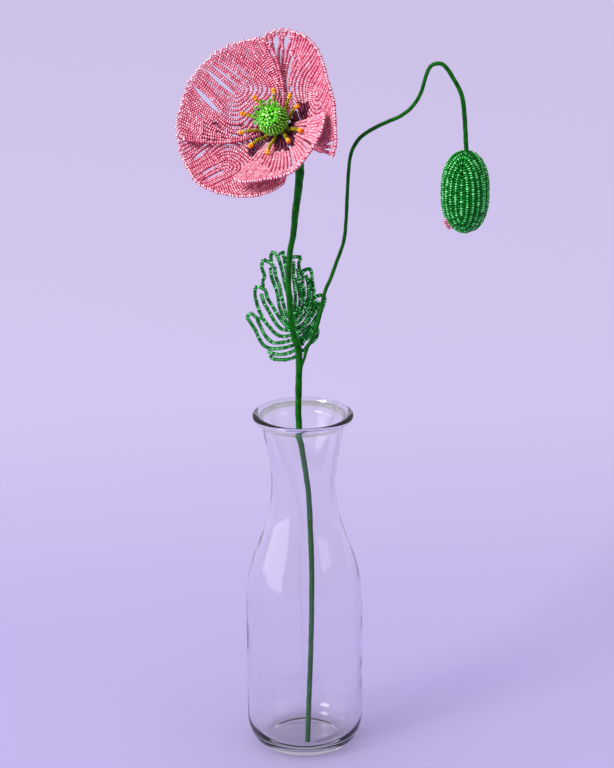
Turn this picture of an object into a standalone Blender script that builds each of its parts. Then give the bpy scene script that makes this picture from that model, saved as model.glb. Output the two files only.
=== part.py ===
"""Glass-bead poppy with a hanging bud and a leaf, standing in a clear glass bottle.

Metres, +Z up. The origin is the middle of the bottle's flat base, and +Y runs away from the flower's face.
"""

import math

import bmesh
import bpy
from mathutils import Matrix, Vector

MM = 0.001
GAP = 0.3  # mm between pieces that touch
COLLECTION = "beaded_poppy_in_bottle"

# Bottle, in mm
BOTTLE_HEIGHT = 250.0
BASE_FLAT_RADIUS = 26.6
BODY_RADIUS = 41.0
HEEL_HEIGHT = 22.0
WALL = 2.8
FLOOR_THICKNESS = 6.5
LIP_RING_RADIUS = 32.5  # middle of the rounded lip
LIP_HALF_WIDTH = 2.7
LIP_HALF_HEIGHT = 2.0
BOTTLE_STEPS = 40
# outer radius of the body, shoulder and neck at each height
SHOULDER = [
    (22.0, 41.0), (60.0, 41.1), (100.0, 41.0), (122.0, 40.3), (140.0, 36.4), (155.0, 31.2),
    (170.0, 26.2), (185.0, 23.3), (200.0, 22.4), (215.0, 23.8), (230.0, 26.6), (241.0, 28.4),
]

# Stems, in mm: a point on the centre line and the wrapped stem's radius there
MAIN_STEM = [
    ((1.8, -22.3, 6.9), 1.8), ((2.9, -18.5, 39), 1.8), ((4.4, -12.5, 75), 1.8), ((5.3, -6, 111), 1.8),
    ((5.3, -1, 140), 1.85), ((3.9, 7, 182), 1.9), ((1.5, 11.5, 203), 1.95), ((-2.2, 17, 226), 2.1),
    ((-3.1, 20.5, 241), 2.2), ((-2.9, 23.5, 262), 2.3), ((-2.4, 24.6, 279), 2.3), ((-3.6, 24.8, 290), 2.2),
    ((-5.8, 24.8, 297), 2.0), ((-7.9, 24.5, 311), 1.95), ((-9.1, 24, 328), 1.95), ((-9.3, 23.5, 344), 1.95),
    ((-8.1, 23, 360), 2.0), ((-5.9, 22.5, 372), 2.1), ((-4, 22.2, 390), 2.4), ((-2.2, 22.4, 404), 2.7),
    ((-1.2, 23.4, 417), 3.0), ((-1.6, 24.6, 428), 3.1), ((-4.2, 23.4, 438), 3.2), ((-8.6, 18.0, 446), 3.2),
]
BUD_STEM = [
    ((2.1, 23.6, 283.5), 1.0), ((3.2, 21.6, 290), 1.2), ((5.8, 20, 296), 1.3), ((10.8, 18, 309.6), 1.3),
    ((14, 17, 325.2), 1.3), ((16.1, 16, 334.2), 1.3), ((19.3, 15.5, 341.8), 1.3), ((24.2, 15, 355.7), 1.25),
    ((28.7, 14.5, 369.6), 1.25), ((30.3, 14, 383.4), 1.2), ((31.2, 13, 404.1), 1.2), ((32.3, 12, 422.4), 1.2),
    ((34.1, 11.5, 433.7), 1.25), ((39, 11, 442.7), 1.3), ((46.5, 10, 449), 1.3), ((57.2, 9, 454.8), 1.3),
    ((67.9, 8, 459.9), 1.3), ((75.4, 7.5, 466.7), 1.3), ((80.7, 7, 475.6), 1.3), ((83.8, 7, 486.5), 1.3),
    ((86.9, 6.5, 493.8), 1.35), ((91.2, 6, 496), 1.4), ((96.5, 6, 494.4), 1.4), ((103, 5.5, 484.6), 1.45),
    ((107.9, 5, 474.8), 1.5), ((109.9, 5, 461.6), 1.55), ((110.8, 5, 448.3), 1.55), ((111.6, 5, 436.6), 1.55),
]

# Flower head, in mm
FLOWER_BASE = Vector((-14.0, 10.0, 452.0))
FLOWER_FACING = Vector((-0.39, -0.712, 0.582)).normalized()
PETAL_THICKNESS = 1.6
OUTER_PETAL_DROP = 3.6
PETAL_START = 0.075  # share of a petal's reach where it leaves the stem
# Each petal's edge at five even stations, turning from its clockwise side to the other: azimuth round
# the flower's axis in degrees, reach from that axis and rise along it in mm. Spread is how much wider
# an angle the petal takes up near the axis than at its edge.
PETALS = {
    "petal_upper_left": {"azimuth": (85, 109, 135, 161, 186), "reach": (51, 59, 66, 66, 66), "spread": 0.3,
                         "rise": (30, 25, 24, 23, 24), "drop": 0.0},
    "petal_upper_right": {"azimuth": (-41, -15, 28, 68, 97), "reach": (64, 56.5, 50, 58, 57), "spread": 0.0,
                          "rise": (36, 40, 38, 32, 27), "drop": OUTER_PETAL_DROP},
    "petal_lower_right": {"azimuth": (-118, -88, -65, -46, -15), "reach": (52, 51.5, 56, 54, 50.5),
                          "spread": 0.25, "rise": (26, 32, 34, 36, 38), "drop": 0.0},
    "petal_lower_left": {"azimuth": (-188, -162, -143, -114, -81), "reach": (69, 67, 65.5, 58, 52),
                         "spread": 0.12, "rise": (24, 21, 21, 20, 19), "drop": OUTER_PETAL_DROP},
}
POD_RADIUS = 10.4
POD_HEIGHT = 12.6  # middle of the pod above the flower's base
CROWN_RADIUS = 6.6
CROWN_THICKNESS = 1.6
STAMENS = [(19, 0.83), (49, 0.87), (88, 1.0), (125, 1.12), (159, 1.18), (193, 1.22), (225, 1.17), (261, 1.22),
           (303, 1.0), (330, 1.2)]  # azimuth and length
STAMEN_FOOT = 7.2  # reach
STAMEN_PATH = [((7.2, 3.7), 0.75), ((9.5, 5.2), 0.85), ((13.0, 7.8), 0.85), ((17.5, 11.2), 0.85),
               ((19.5, 12.7), 1.5), ((21.0, 13.8), 1.5), ((22.4, 14.8), 0.8)]

# Leaf, in mm: one side's outline as (along the midrib, out from it)
LEAF_BASE = Vector((-1.2, 29.6, 286.0))
LEAF_UP = Vector((-0.17, 0.15, 0.97)).normalized()
LEAF_FOLD = math.radians(41)
LEAF_THICKNESS = 1.6
MIDRIB_RADIUS = 1.3
LEAF_OUTLINE = [
    (0, 0), (-1, 8), (1.5, 22), (5, 25), (17, 28), (30, 33), (33.5, 29), (29.5, 24.5), (40, 25.5), (50, 25),
    (51.5, 20.5), (48, 17.5), (57, 17), (67, 16), (69, 11.5), (64, 8.5), (69.5, 8), (72, 4), (71, 0),
]

# Bud, in mm
BUD_CENTRE = Vector((113.2, 5.0, 407.2))
BUD_RADIUS = 15.7
BUD_HALF_HEIGHT = 27.7
BUD_SQUARENESS = 2.3
BUD_SHELL = 1.8
BUD_FACING = math.radians(-102)  # the front sepal's middle, turned a little to the left
SEPALS = ("bud_sepal_front", "bud_sepal_right", "bud_sepal_back")
SEPAL_HALF_ANGLE = math.radians(53)
BUD_POLE = math.radians(11)
BUD_FRILL = (7.0, 1.5, 9.0)  # the petal edge that shows at the seam: reach, thickness and height


def clear_scene():
    for obj in list(bpy.data.objects):
        bpy.data.objects.remove(obj, do_unlink=True)


def new_collection(name):
    made = bpy.data.collections.new(name)
    bpy.context.scene.collection.children.link(made)
    return made


def material(name, colour, roughness, metallic=0.0, transmission=0.0):
    made = bpy.data.materials.new(name)
    made.use_nodes = True
    shader = made.node_tree.nodes["Principled BSDF"]
    shader.inputs["Base Color"].default_value = (*colour, 1.0)
    shader.inputs["Roughness"].default_value = roughness
    shader.inputs["Metallic"].default_value = metallic
    shader.inputs["Transmission Weight"].default_value = transmission
    return made


def add_object(name, data, look, home):
    obj = bpy.data.objects.new(name, data)
    home.objects.link(obj)
    data.materials.append(look)
    return obj


def mesh_from(bm, name, smooth=True):
    mesh = bpy.data.meshes.new(name)
    bm.to_mesh(mesh)
    bm.free()
    if smooth:
        mesh.shade_smooth()
        mesh.set_sharp_from_angle(angle=math.radians(40))
    return mesh


def through(values, t):
    """The value at t on a smooth curve through values, which lie at 0, 1, 2 and so on."""
    last = len(values) - 1
    i = min(max(int(t), 0), last - 1)
    f = t - i
    b, c = values[i], values[i + 1]
    a = values[i - 1] if i > 0 else b + (b - c)
    d = values[i + 2] if i + 2 <= last else c + (c - b)
    return 0.5 * (2 * b + (c - a) * f + (2 * a - 5 * b + 4 * c - d) * f**2 + (3 * b - 3 * c + d - a) * f**3)


def spline_points(stations, per_station):
    """Evenly numbered (point, radius) pairs on the smooth curve through the stations."""
    points = [Vector(place) for place, _ in stations]
    radii = [radius for _, radius in stations]
    count = (len(stations) - 1) * per_station
    spread = [(len(stations) - 1) * k / count for k in range(count + 1)]
    return [(through(points, t), through(radii, t)) for t in spread]


def tube(name, stations, look, home, per_station=2):
    """A round tube along the stations, whose thickness follows theirs, with closed ends."""
    curve = bpy.data.curves.new(name, "CURVE")
    curve.dimensions = "3D"
    curve.bevel_depth = MM
    curve.bevel_resolution = 2
    curve.use_fill_caps = True
    line = spline_points(stations, per_station)
    spline = curve.splines.new("POLY")
    spline.points.add(len(line) - 1)
    for knot, (place, radius) in zip(spline.points, line):
        knot.co = (*(place * MM), 1.0)
        knot.radius = radius
    return add_object(name, curve, look, home)


def arc(centre, half_width, half_height, start, end, steps):
    """Points on an ellipse from one angle to another, in degrees."""
    angles = [math.radians(start + (end - start) * k / steps) for k in range(steps + 1)]
    return [(centre[0] + half_width * math.cos(a), centre[1] + half_height * math.sin(a)) for a in angles]


def outer_radius(height):
    """The bottle's outer radius between the heel and the lip."""
    heights = [z for z, _ in SHOULDER]
    radii = [r for _, r in SHOULDER]
    i = max(k for k in range(len(heights) - 1) if heights[k] <= height)
    return through(radii, i + (height - heights[i]) / (heights[i + 1] - heights[i]))


def bottle_profile():
    """The wall's outline as (radius, height): up the inside from the floor's middle and down the outside."""
    levels = [z for z, _ in SHOULDER]
    levels += [(a + b) / 2 for a, b in zip(levels[3:], levels[4:])]
    levels.sort()
    heel_middle = (BASE_FLAT_RADIUS, HEEL_HEIGHT)
    heel_width = BODY_RADIUS - BASE_FLAT_RADIUS
    lip_middle = (LIP_RING_RADIUS, BOTTLE_HEIGHT - LIP_HALF_HEIGHT)
    inside = [(0.0, FLOOR_THICKNESS)]
    inside += arc(heel_middle, heel_width - WALL, HEEL_HEIGHT - FLOOR_THICKNESS, -90, 0, 5)[:-1]
    inside += [(outer_radius(z) - WALL, z) for z in levels]
    lip = arc(lip_middle, LIP_HALF_WIDTH, LIP_HALF_HEIGHT, 200, -60, 9)
    outside = [(outer_radius(z), z) for z in reversed(levels)]
    outside += arc(heel_middle, heel_width, HEEL_HEIGHT, 0, -90, 6)[1:]
    return inside + lip + outside + [(0.0, 0.0)]


def make_bottle(look, home):
    bm = bmesh.new()
    knots = [bm.verts.new((radius * MM, 0, height * MM)) for radius, height in bottle_profile()]
    for a, b in zip(knots, knots[1:]):
        bm.edges.new((a, b))
    bottle = add_object("glass_bottle", mesh_from(bm, "glass_bottle", smooth=False), look, home)
    turn = bottle.modifiers.new("turn", "SCREW")
    turn.axis = "Z"
    turn.angle = math.tau
    turn.steps = BOTTLE_STEPS
    turn.render_steps = BOTTLE_STEPS
    turn.use_merge_vertices = True
    turn.merge_threshold = 0.00001
    turn.use_smooth_shade = True
    return bottle


def flower_axes():
    """Unit vectors to the flower's right, to its top and out of its face."""
    right = (Vector((1, 0, 0)) - FLOWER_FACING.x * FLOWER_FACING).normalized()
    return right, FLOWER_FACING.cross(right), FLOWER_FACING


def flower_point(azimuth, reach, rise):
    """A place in the flower head, in mm, from its angle in degrees, its distance from the axis and its height."""
    right, top, out = flower_axes()
    angle = math.radians(azimuth)
    return FLOWER_BASE + reach * (math.cos(angle) * right + math.sin(angle) * top) + rise * out


def petal_point(shape, across, along):
    """across runs from -1 to 1 between the petal's sides, along from 0 at the axis to 1 at its edge."""
    station = 2 + 2 * across
    reach = through(shape["reach"], station) * along * (1.12 - 0.12 * along**2)
    rise = through(shape["rise"], station) * along**1.55 - shape["drop"]
    middle = shape["azimuth"][2]
    turned = through(shape["azimuth"], station) - middle
    return flower_point(middle + turned * (1 + shape["spread"] * (1 - along)), reach, rise)


def shell_from_grid(name, place, thickness, columns, rows, look, home):
    """A sheet whose grid corners from (-1, -1) to (1, 1) are put where place says, made solid."""
    bm = bmesh.new()
    bmesh.ops.create_grid(bm, x_segments=columns, y_segments=rows, size=1)
    for knot in bm.verts:
        knot.co = place(knot.co.x, knot.co.y) * MM
    obj = add_object(name, mesh_from(bm, name), look, home)
    solid = obj.modifiers.new("thickness", "SOLIDIFY")
    solid.thickness = thickness * MM
    solid.offset = 0.0
    return obj


def make_petals(look, home):
    for name, shape in PETALS.items():
        def place(x, y, shape=shape):
            return petal_point(shape, x, PETAL_START + (1 - PETAL_START) * (y + 1) / 2)
        shell_from_grid(name, place, PETAL_THICKNESS, 14, 8, look, home)


def aim(axis):
    """The rotation that turns +Z to the axis."""
    return axis.to_track_quat("Z", "Y").to_matrix().to_4x4()


def make_pod(look, home):
    bm = bmesh.new()
    bmesh.ops.create_uvsphere(bm, u_segments=20, v_segments=12, radius=POD_RADIUS * MM)
    pod = add_object("seed_pod", mesh_from(bm, "seed_pod"), look, home)
    pod.matrix_world = Matrix.Translation(flower_point(0, 0, POD_HEIGHT) * MM) @ aim(FLOWER_FACING)
    bm = bmesh.new()
    bmesh.ops.create_cone(
        bm, cap_ends=True, segments=20, radius1=CROWN_RADIUS * MM, radius2=0.6 * CROWN_RADIUS * MM,
        depth=CROWN_THICKNESS * MM,
    )
    crown = add_object("pod_crown", mesh_from(bm, "pod_crown"), look, home)
    crown_height = POD_HEIGHT + POD_RADIUS + GAP + CROWN_THICKNESS / 2
    crown.matrix_world = Matrix.Translation(flower_point(0, 0, crown_height) * MM) @ aim(FLOWER_FACING)


def make_stamens(look, home):
    for number, (azimuth, length) in enumerate(STAMENS, 1):
        stations = [
            (flower_point(azimuth, STAMEN_FOOT + (reach - STAMEN_FOOT) * length, rise), radius)
            for (reach, rise), radius in STAMEN_PATH
        ]
        tube(f"stamen_{number:02d}", stations, look, home, per_station=1)


def as_mesh(obj, home):
    """Turns a curve object into a welded mesh object of the same name."""
    graph = bpy.context.evaluated_depsgraph_get()
    mesh = bpy.data.meshes.new_from_object(obj.evaluated_get(graph))
    bm = bmesh.new()
    bm.from_mesh(mesh)
    bmesh.ops.remove_doubles(bm, verts=bm.verts, dist=0.00001)
    bm.to_mesh(mesh)
    bm.free()
    name = obj.name
    place = obj.matrix_world.copy()
    bpy.data.objects.remove(obj, do_unlink=True)
    made = bpy.data.objects.new(name, mesh)
    made.matrix_world = place
    home.objects.link(made)
    return made


def half_leaf(name, side, look, home):
    """One flat half of the leaf, which overlaps the midrib."""
    curve = bpy.data.curves.new(name, "CURVE")
    curve.dimensions = "2D"
    curve.fill_mode = "BOTH"
    curve.extrude = LEAF_THICKNESS / 2 * MM
    spline = curve.splines.new("POLY")
    spline.use_cyclic_u = True
    outline = LEAF_OUTLINE[1:-1]
    corners = [(-0.4, outline[0][0])] + [(out, up) for up, out in outline] + [(-0.4, outline[-1][0])]
    spline.points.add(len(corners) - 1)
    for knot, (out, up) in zip(spline.points, corners):
        knot.co = (side * out * MM, up * MM, 0, 1)
    obj = add_object(name, curve, look, home)
    return obj


def leaf_frame(turn):
    """The leaf's placing in metres: its y axis runs up the midrib, and it is turned about it."""
    across = (Vector((1, 0, 0)) - LEAF_UP.x * LEAF_UP).normalized()
    facing = across.cross(LEAF_UP)
    basis = Matrix((across, LEAF_UP, facing)).transposed().to_4x4()
    return Matrix.Translation(LEAF_BASE * MM) @ basis @ Matrix.Rotation(turn, 4, "Y")


def join(target, cutter, operation):
    step = target.modifiers.new(operation.lower(), "BOOLEAN")
    step.operation = operation
    step.object = cutter
    cutter.hide_render = True
    cutter.display_type = "WIRE"


def make_leaf(look, home, helpers):
    left = half_leaf("leaf", -1, look, home)
    left.matrix_world = leaf_frame(0.0)
    right = half_leaf("leaf_right_half", 1, look, helpers)
    right.matrix_world = leaf_frame(LEAF_FOLD)
    midrib = tube("leaf_midrib", [
        (LEAF_BASE + LEAF_UP * up, MIDRIB_RADIUS) for up in (-2.0, 24.0, 48.0, 71.0)
    ], look, helpers)
    bpy.context.view_layer.update()
    left = as_mesh(left, home)
    join(left, as_mesh(right, helpers), "UNION")
    join(left, as_mesh(midrib, helpers), "UNION")


def bud_point(azimuth, polar, swell=0.0):
    """A place on the bud, in mm, grown by swell: azimuth about its upright axis, polar down from its top."""
    power = 2 / BUD_SQUARENESS
    outward = (BUD_RADIUS + swell) * math.sin(polar) ** power
    up = math.copysign(abs(math.cos(polar)) ** power, math.cos(polar)) * (BUD_HALF_HEIGHT + swell)
    return BUD_CENTRE + Vector((outward * math.cos(azimuth), outward * math.sin(azimuth), up))


def make_bud(leaf_look, petal_look, home, helpers):
    for number, name in enumerate(SEPALS):
        middle = BUD_FACING + number * math.tau / 3

        def place(x, y, middle=middle):
            polar = math.pi / 2 - y * (math.pi / 2 - BUD_POLE)
            return bud_point(middle + x * SEPAL_HALF_ANGLE, polar)
        shell_from_grid(name, place, BUD_SHELL, 9, 13, leaf_look, home)
    inner = BUD_RADIUS - BUD_SHELL / 2 - 2 * GAP - 1.0
    bm = bmesh.new()
    bmesh.ops.create_uvsphere(bm, u_segments=20, v_segments=12, radius=1)
    for knot in bm.verts:
        knot.co.x *= inner * MM
        knot.co.y *= inner * MM
        knot.co.z *= 0.8 * BUD_HALF_HEIGHT * MM
    petals = add_object("bud_petals", mesh_from(bm, "bud_petals"), petal_look, home)
    petals.location = BUD_CENTRE * MM
    bm = bmesh.new()
    bmesh.ops.create_cube(bm, size=1)
    frill = add_object("bud_frill", mesh_from(bm, "bud_frill", smooth=False), petal_look, helpers)
    frill.scale = [size * MM for size in (2 * BUD_FRILL[0], BUD_FRILL[1], BUD_FRILL[2])]
    seam = BUD_FACING - math.pi / 3
    middle = BUD_CENTRE + Vector((math.cos(seam), math.sin(seam), 0)) * 8.8 - Vector((0, 0, 20.0))
    frill.location = middle * MM
    frill.rotation_euler = (0, 0, seam)
    join(petals, frill, "UNION")


def main():
    clear_scene()
    home = new_collection(COLLECTION)
    helpers = new_collection("cutters")
    glass = material("clear_glass", (0.95, 0.96, 0.97), 0.02, transmission=1.0)
    tape = material("green_tape", (0.03, 0.19, 0.02), 0.55)
    pink = material("pink_beads", (0.72, 0.14, 0.24), 0.25)
    lime = material("lime_beads", (0.1, 0.6, 0.02), 0.25)
    olive = material("olive_beads", (0.4, 0.38, 0.02), 0.3)
    green = material("green_beads", (0.01, 0.26, 0.03), 0.25)
    make_bottle(glass, home)
    tube("main_stem", MAIN_STEM, tape, home)
    tube("bud_stem", BUD_STEM, tape, home)
    make_petals(pink, home)
    make_pod(lime, home)
    make_stamens(olive, home)
    make_leaf(green, home, helpers)
    make_bud(green, pink, home, helpers)


main()
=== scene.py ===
import math

import bpy
import numpy as np
from mathutils import Matrix, Vector


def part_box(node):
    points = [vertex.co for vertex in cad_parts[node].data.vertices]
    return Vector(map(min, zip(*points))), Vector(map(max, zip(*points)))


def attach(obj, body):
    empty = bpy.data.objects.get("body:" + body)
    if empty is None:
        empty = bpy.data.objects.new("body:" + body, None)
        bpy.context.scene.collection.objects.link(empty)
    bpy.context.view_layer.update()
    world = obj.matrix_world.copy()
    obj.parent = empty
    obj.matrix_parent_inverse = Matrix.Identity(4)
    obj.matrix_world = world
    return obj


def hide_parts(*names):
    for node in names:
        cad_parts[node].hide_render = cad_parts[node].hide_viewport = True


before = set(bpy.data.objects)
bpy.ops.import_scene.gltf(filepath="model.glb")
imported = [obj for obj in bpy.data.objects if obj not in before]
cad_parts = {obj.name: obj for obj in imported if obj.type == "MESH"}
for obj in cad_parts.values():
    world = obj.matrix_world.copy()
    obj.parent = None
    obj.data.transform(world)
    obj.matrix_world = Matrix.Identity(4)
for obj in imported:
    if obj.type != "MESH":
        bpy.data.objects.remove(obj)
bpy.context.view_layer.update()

MM = 0.001
TURN = 2 * math.pi

CAMERA_PLACE = (0.00296, -2.0, 0.9827)  # metres
CAMERA_LENS = 143.8
CAMERA_TILT = 19.585  # degrees down from level
CAMERA_ROLL = -0.357
PAPER_HALF_WIDTH = 5.0  # metres
PAPER_FADE = 2.4  # metres behind the bottle where the floor's colour stops changing
KEY_DIRECTION = (0.95, 0.7, -0.95)
LIGHT_TARGET = (0, 0, 0.3)  # metres

# Lengths below are in mm, and angles in degrees unless a name says otherwise.
BEAD_RADIUS = 1.28
BEAD_PITCH = 1.62
GREEN_BEAD_RADIUS = 1.25
GREEN_BEAD_PITCH = 1.6
WIRE_RADIUS = 0.2
WIRE_SIDES = 4
WIRE_STEP = 2.2

FLOWER_FACING = np.array([-0.39, -0.712, 0.582]) / np.linalg.norm([-0.39, -0.712, 0.582])
POD_HEIGHT = 12.6
POD_RADIUS = 10.4
OUTER_PETAL_DROP = 3.6
PETAL_START = 0.085
ROW_PITCH = 2.25
DARK_SIDE_REACH = 12.0
# How near to earlier beads a row's beads may be, for each kind of row in a petal
LOOP_CLEARANCE = 1.4
SIDE_CLEARANCE = 1.55
BASE_CLEARANCE = 1.7
RIM_CLEARANCE = 0.9
# Petals: slits are (row on their low side, start and end along the petal, width)
PETALS = {
    "petal_upper_left": {
        "azimuth": (85, 109, 135, 161, 186), "reach": (51, 59, 66, 66, 66), "rise": (30, 25, 24, 23, 24),
        "spread": 0.3, "drop": 0.0, "edge_pitch": 2.35, "tone": 0.44, "loops": 10, "nest": 0.54, "seed": 11,
        "dark": 22.0,
        "slits": [(-6, 0.55, 0.9, 0.9), (-4, 0.57, 0.93, 1.4), (-2, 0.57, 0.95, 1.9), (0, 0.55, 0.95, 2.7),
                  (2, 0.6, 0.92, 1.0), (6, 0.58, 0.95, 3.2), (10, 0.4, 0.8, 1.0)],
    },
    "petal_upper_right": {
        "azimuth": (-41, -15, 17, 60, 97), "reach": (68, 57, 50.5, 58, 60), "rise": (33, 40, 38.5, 33, 27),
        "spread": 0.0, "drop": OUTER_PETAL_DROP, "edge_pitch": 2.35, "tone": 0.5, "loops": 10, "nest": 0.68,
        "seed": 12, "dark": 27.0,
        "slits": [(23, 0.8, 0.97, 3.6), (19, 0.8, 0.97, 3.6), (15, 0.45, 0.8, 1.2), (-25, 0.62, 0.94, 3.0),
                  (-23, 0.62, 0.94, 3.0), (-21, 0.65, 0.94, 2.6), (-19, 0.68, 0.93, 2.2)],
    },
    "petal_lower_right": {
        "azimuth": (-118, -88, -65, -46, -15), "reach": (52, 51.5, 56, 54, 50.5),
        "rise": (26, 32, 34, 36, 38),
        "spread": 0.25, "drop": 0.0, "edge_pitch": 2.0, "tone": 0.58, "loops": 2, "nest": 0.9, "seed": 13,
        "dark": 25.0, "slits": [],
    },
    "petal_lower_left": {
        "azimuth": (-188, -162, -143, -114, -81), "reach": (69, 67, 65.5, 58, 52),
        "rise": (24, 21, 21, 20, 19),
        "spread": 0.12, "drop": OUTER_PETAL_DROP, "edge_pitch": 2.35, "tone": 0.44, "loops": 11, "nest": 0.64,
        "seed": 14, "dark": 28.0,
        "slits": [(-11, 0.72, 0.92, 2.2), (-4, 0.66, 0.92, 2.4), (-1, 0.64, 0.95, 2.4), (3, 0.7, 0.95, 1.0),
                  (-14, 0.4, 0.62, 1.4)],
    },
}
STAMENS = [(19, 0.83), (49, 0.87), (88, 1.0), (125, 1.12), (159, 1.18), (193, 1.22), (225, 1.17), (261, 1.22),
           (303, 1.0), (330, 1.2)]  # azimuth and length
STAMEN_FOOT = 7.2  # reach
STAMEN_REACH = 11.6  # past the foot, for a stamen of length 1
STAMEN_TWIST = 5.2 * math.pi

# Stems: a point on the centre line and the radius there
MAIN_STEM = [
    ((1.8, -22.3, 6.9), 1.8), ((2.9, -18.5, 39), 1.8), ((4.4, -12.5, 75), 1.8), ((5.3, -6, 111), 1.8),
    ((5.3, -1, 140), 1.85), ((3.9, 7, 182), 1.9), ((1.5, 11.5, 203), 1.95), ((-2.2, 17, 226), 2.1),
    ((-3.1, 20.5, 241), 2.2), ((-2.9, 23.5, 262), 2.3), ((-2.4, 24.6, 279), 2.3), ((-3.6, 24.8, 290), 2.2),
    ((-5.8, 24.8, 297), 2.0), ((-7.9, 24.5, 311), 1.95), ((-9.1, 24, 328), 1.95), ((-9.3, 23.5, 344), 1.95),
    ((-8.1, 23, 360), 2.0), ((-5.9, 22.5, 372), 2.1), ((-4, 22.2, 390), 2.4), ((-2.2, 22.4, 404), 2.7),
    ((-1.2, 23.4, 417), 3.0), ((-1.6, 24.6, 428), 3.1), ((-4.2, 23.4, 438), 3.2), ((-8.6, 18.0, 446), 3.2),
    ((-11.6, 13.6, 449.4), 3.1), ((-13.4, 10.9, 451.4), 2.9),
]
BUD_STEM = [
    ((-1.2, 23.8, 274), 0.9), ((0.9, 23.4, 281), 1.0), ((3.2, 21.6, 290), 1.2), ((5.8, 20, 296), 1.3),
    ((10.8, 18, 309.6), 1.3),
    ((14, 17, 325.2), 1.3), ((16.1, 16, 334.2), 1.3), ((19.3, 15.5, 341.8), 1.3), ((24.2, 15, 355.7), 1.25),
    ((28.7, 14.5, 369.6), 1.25), ((30.3, 14, 383.4), 1.2), ((31.2, 13, 404.1), 1.2), ((32.3, 12, 422.4), 1.2),
    ((34.1, 11.5, 433.7), 1.25), ((39, 11, 442.7), 1.3), ((46.5, 10, 449), 1.3), ((57.2, 9, 454.8), 1.3),
    ((67.9, 8, 459.9), 1.3), ((75.4, 7.5, 466.7), 1.3), ((80.7, 7, 475.6), 1.3), ((83.8, 7, 486.5), 1.3),
    ((86.9, 6.5, 493.8), 1.35), ((91.2, 6, 496), 1.4), ((96.5, 6, 494.4), 1.4), ((103, 5.5, 484.6), 1.45),
    ((107.9, 5, 474.8), 1.5), ((109.9, 5, 461.6), 1.55), ((110.8, 5, 448.3), 1.55),
    ((111.8, 5, 432), 1.55),
]

# Leaf: each row of beads as (up the midrib, out from it), first left of the midrib and then right of it
LEAF_UP = np.array([-0.17, 0.15, 0.97]) / np.linalg.norm([-0.17, 0.15, 0.97])
LEAF_FOLD = 41.0
LEAF_FACING = np.array([0.3, -0.9, 0.2])
LEAF_BEADS = {"radius": 1.45, "pitch": 1.75, "tone": 0.38, "spread": 0.2, "crown": LEAF_FACING}
LEFT_ROWS = [
    [(0, 22), (-3, 20), (-4.5, 14.5), (-5, 9), (-4, 4), (-3, 0)],
    [(3, 23), (0.5, 19), (-1, 13), (-0.5, 7.5), (0.5, 4), (2, 0)],
    [(29.5, 33), (20, 29), (14, 27.5), (8.5, 25.5), (5.5, 22.5), (4, 18), (3.5, 12), (4, 5), (6, 0)],
    [(26.5, 26), (18, 24), (13, 22), (9.5, 19.5), (8, 17), (7.5, 11.5), (8, 4), (10, 0)],
    [(29.5, 33), (31.5, 29.5), (27, 25.5), (27, 22.5), (24, 21), (18.5, 18), (13.5, 14.5), (11.5, 10.5),
     (11.5, 5), (13, 0)],
    [(28, 22.5), (34, 24), (44.5, 24.5), (49.5, 22), (46, 17), (40.5, 16.5), (34, 14), (28.5, 12),
     (18.5, 7), (15, 0)],
    [(44, 20), (38, 19.5), (30.5, 17), (24.5, 15), (19, 12.5), (16.5, 10), (15, 5), (15, 0)],
    [(47, 18), (52.5, 17.5), (56, 15.5), (61.5, 16.5), (67, 14.5), (64, 10), (61, 8)],
    [(61, 10.5), (55, 11), (48.5, 10), (41, 9), (34, 9.5), (27.5, 8.5), (21.5, 6.5), (17, 1)],
    [(61, 7.5), (54.5, 8), (46, 6.5), (38, 6.5), (31.5, 6), (25, 5), (20, 1)],
    [(62, 9), (68, 9), (71.5, 6.5), (66.5, 4), (56.5, 3), (45, 2.5), (37, 2), (30, 0.5)],
    [(70, 3), (67.5, 0.5), (65, 0)],
]
RIGHT_ROWS = [
    [(65, 0), (65, 6), (63, 14.5), (59, 12), (55, 12), (50, 13.5)],
    [(62, 8), (55.5, 6.5), (49.5, 5), (41, 4.5), (33, 3), (25.5, 1)],
    [(50, 7.5), (42.5, 8), (35, 7.5), (30, 6), (22, 1)],
    [(41.5, 11.5), (48.5, 13.5), (53, 15), (52.5, 21.5), (44, 21.5), (34, 20.5), (29, 17), (25, 12),
     (21, 5.5), (18, 0)],
    [(46, 13.5), (39.5, 12.5), (34, 11), (29, 9), (25, 4), (20, 0)],
    [(50, 17), (43.5, 17), (37.5, 16), (32.5, 14), (27.5, 9), (22, 2)],
    [(29, 19), (32, 20.5), (33, 25), (32, 28.5), (28.5, 29.5), (20, 23), (13.5, 18), (9.5, 11),
     (6.5, 3.5), (5, 0)],
    [(47, 19), (41, 18.5), (35, 17.5), (30, 15), (25, 10)],
    [(46, 10), (38, 9.5), (31, 7), (24, 2)],
    [(56, 10), (49, 10), (42, 9.8), (36, 9)],
    [(30, 22.5), (25, 21), (20, 14.5), (16, 8), (14, 0)],
    [(31, 20.5), (26, 18), (21, 12), (17, 6), (15.5, 0)],
    [(27, 27), (20, 20.5), (14.5, 12.5), (12, 5), (11, 0)],
    [(22, 24.5), (17, 19.5), (11.5, 11), (8.5, 4), (7.5, 0)],
    [(13, 17.5), (9.5, 13.5), (6.5, 7.5), (4, 0)],
    [(28.5, 25), (22.5, 22.5), (17.5, 16), (13.5, 9.5), (10.5, 0)],
    [(12, 18), (7.5, 18), (4.5, 15), (3, 12), (2, 8), (-0.5, 4), (-2, 0)],
    [(12, 17), (8, 11.5), (5, 6), (2.5, 0)],
]

BUD_RADIUS = 15.7
BUD_HALF_HEIGHT = 27.7
BUD_SQUARENESS = 2.3
BUD_FACING = -102.0
BUD_ROW_STEP = 14.4
BUD_CENTRE_DEPTH = 5.0
SEPAL_TURN = 120
DEEP_BEAD_RADIUS = 1.6

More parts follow.
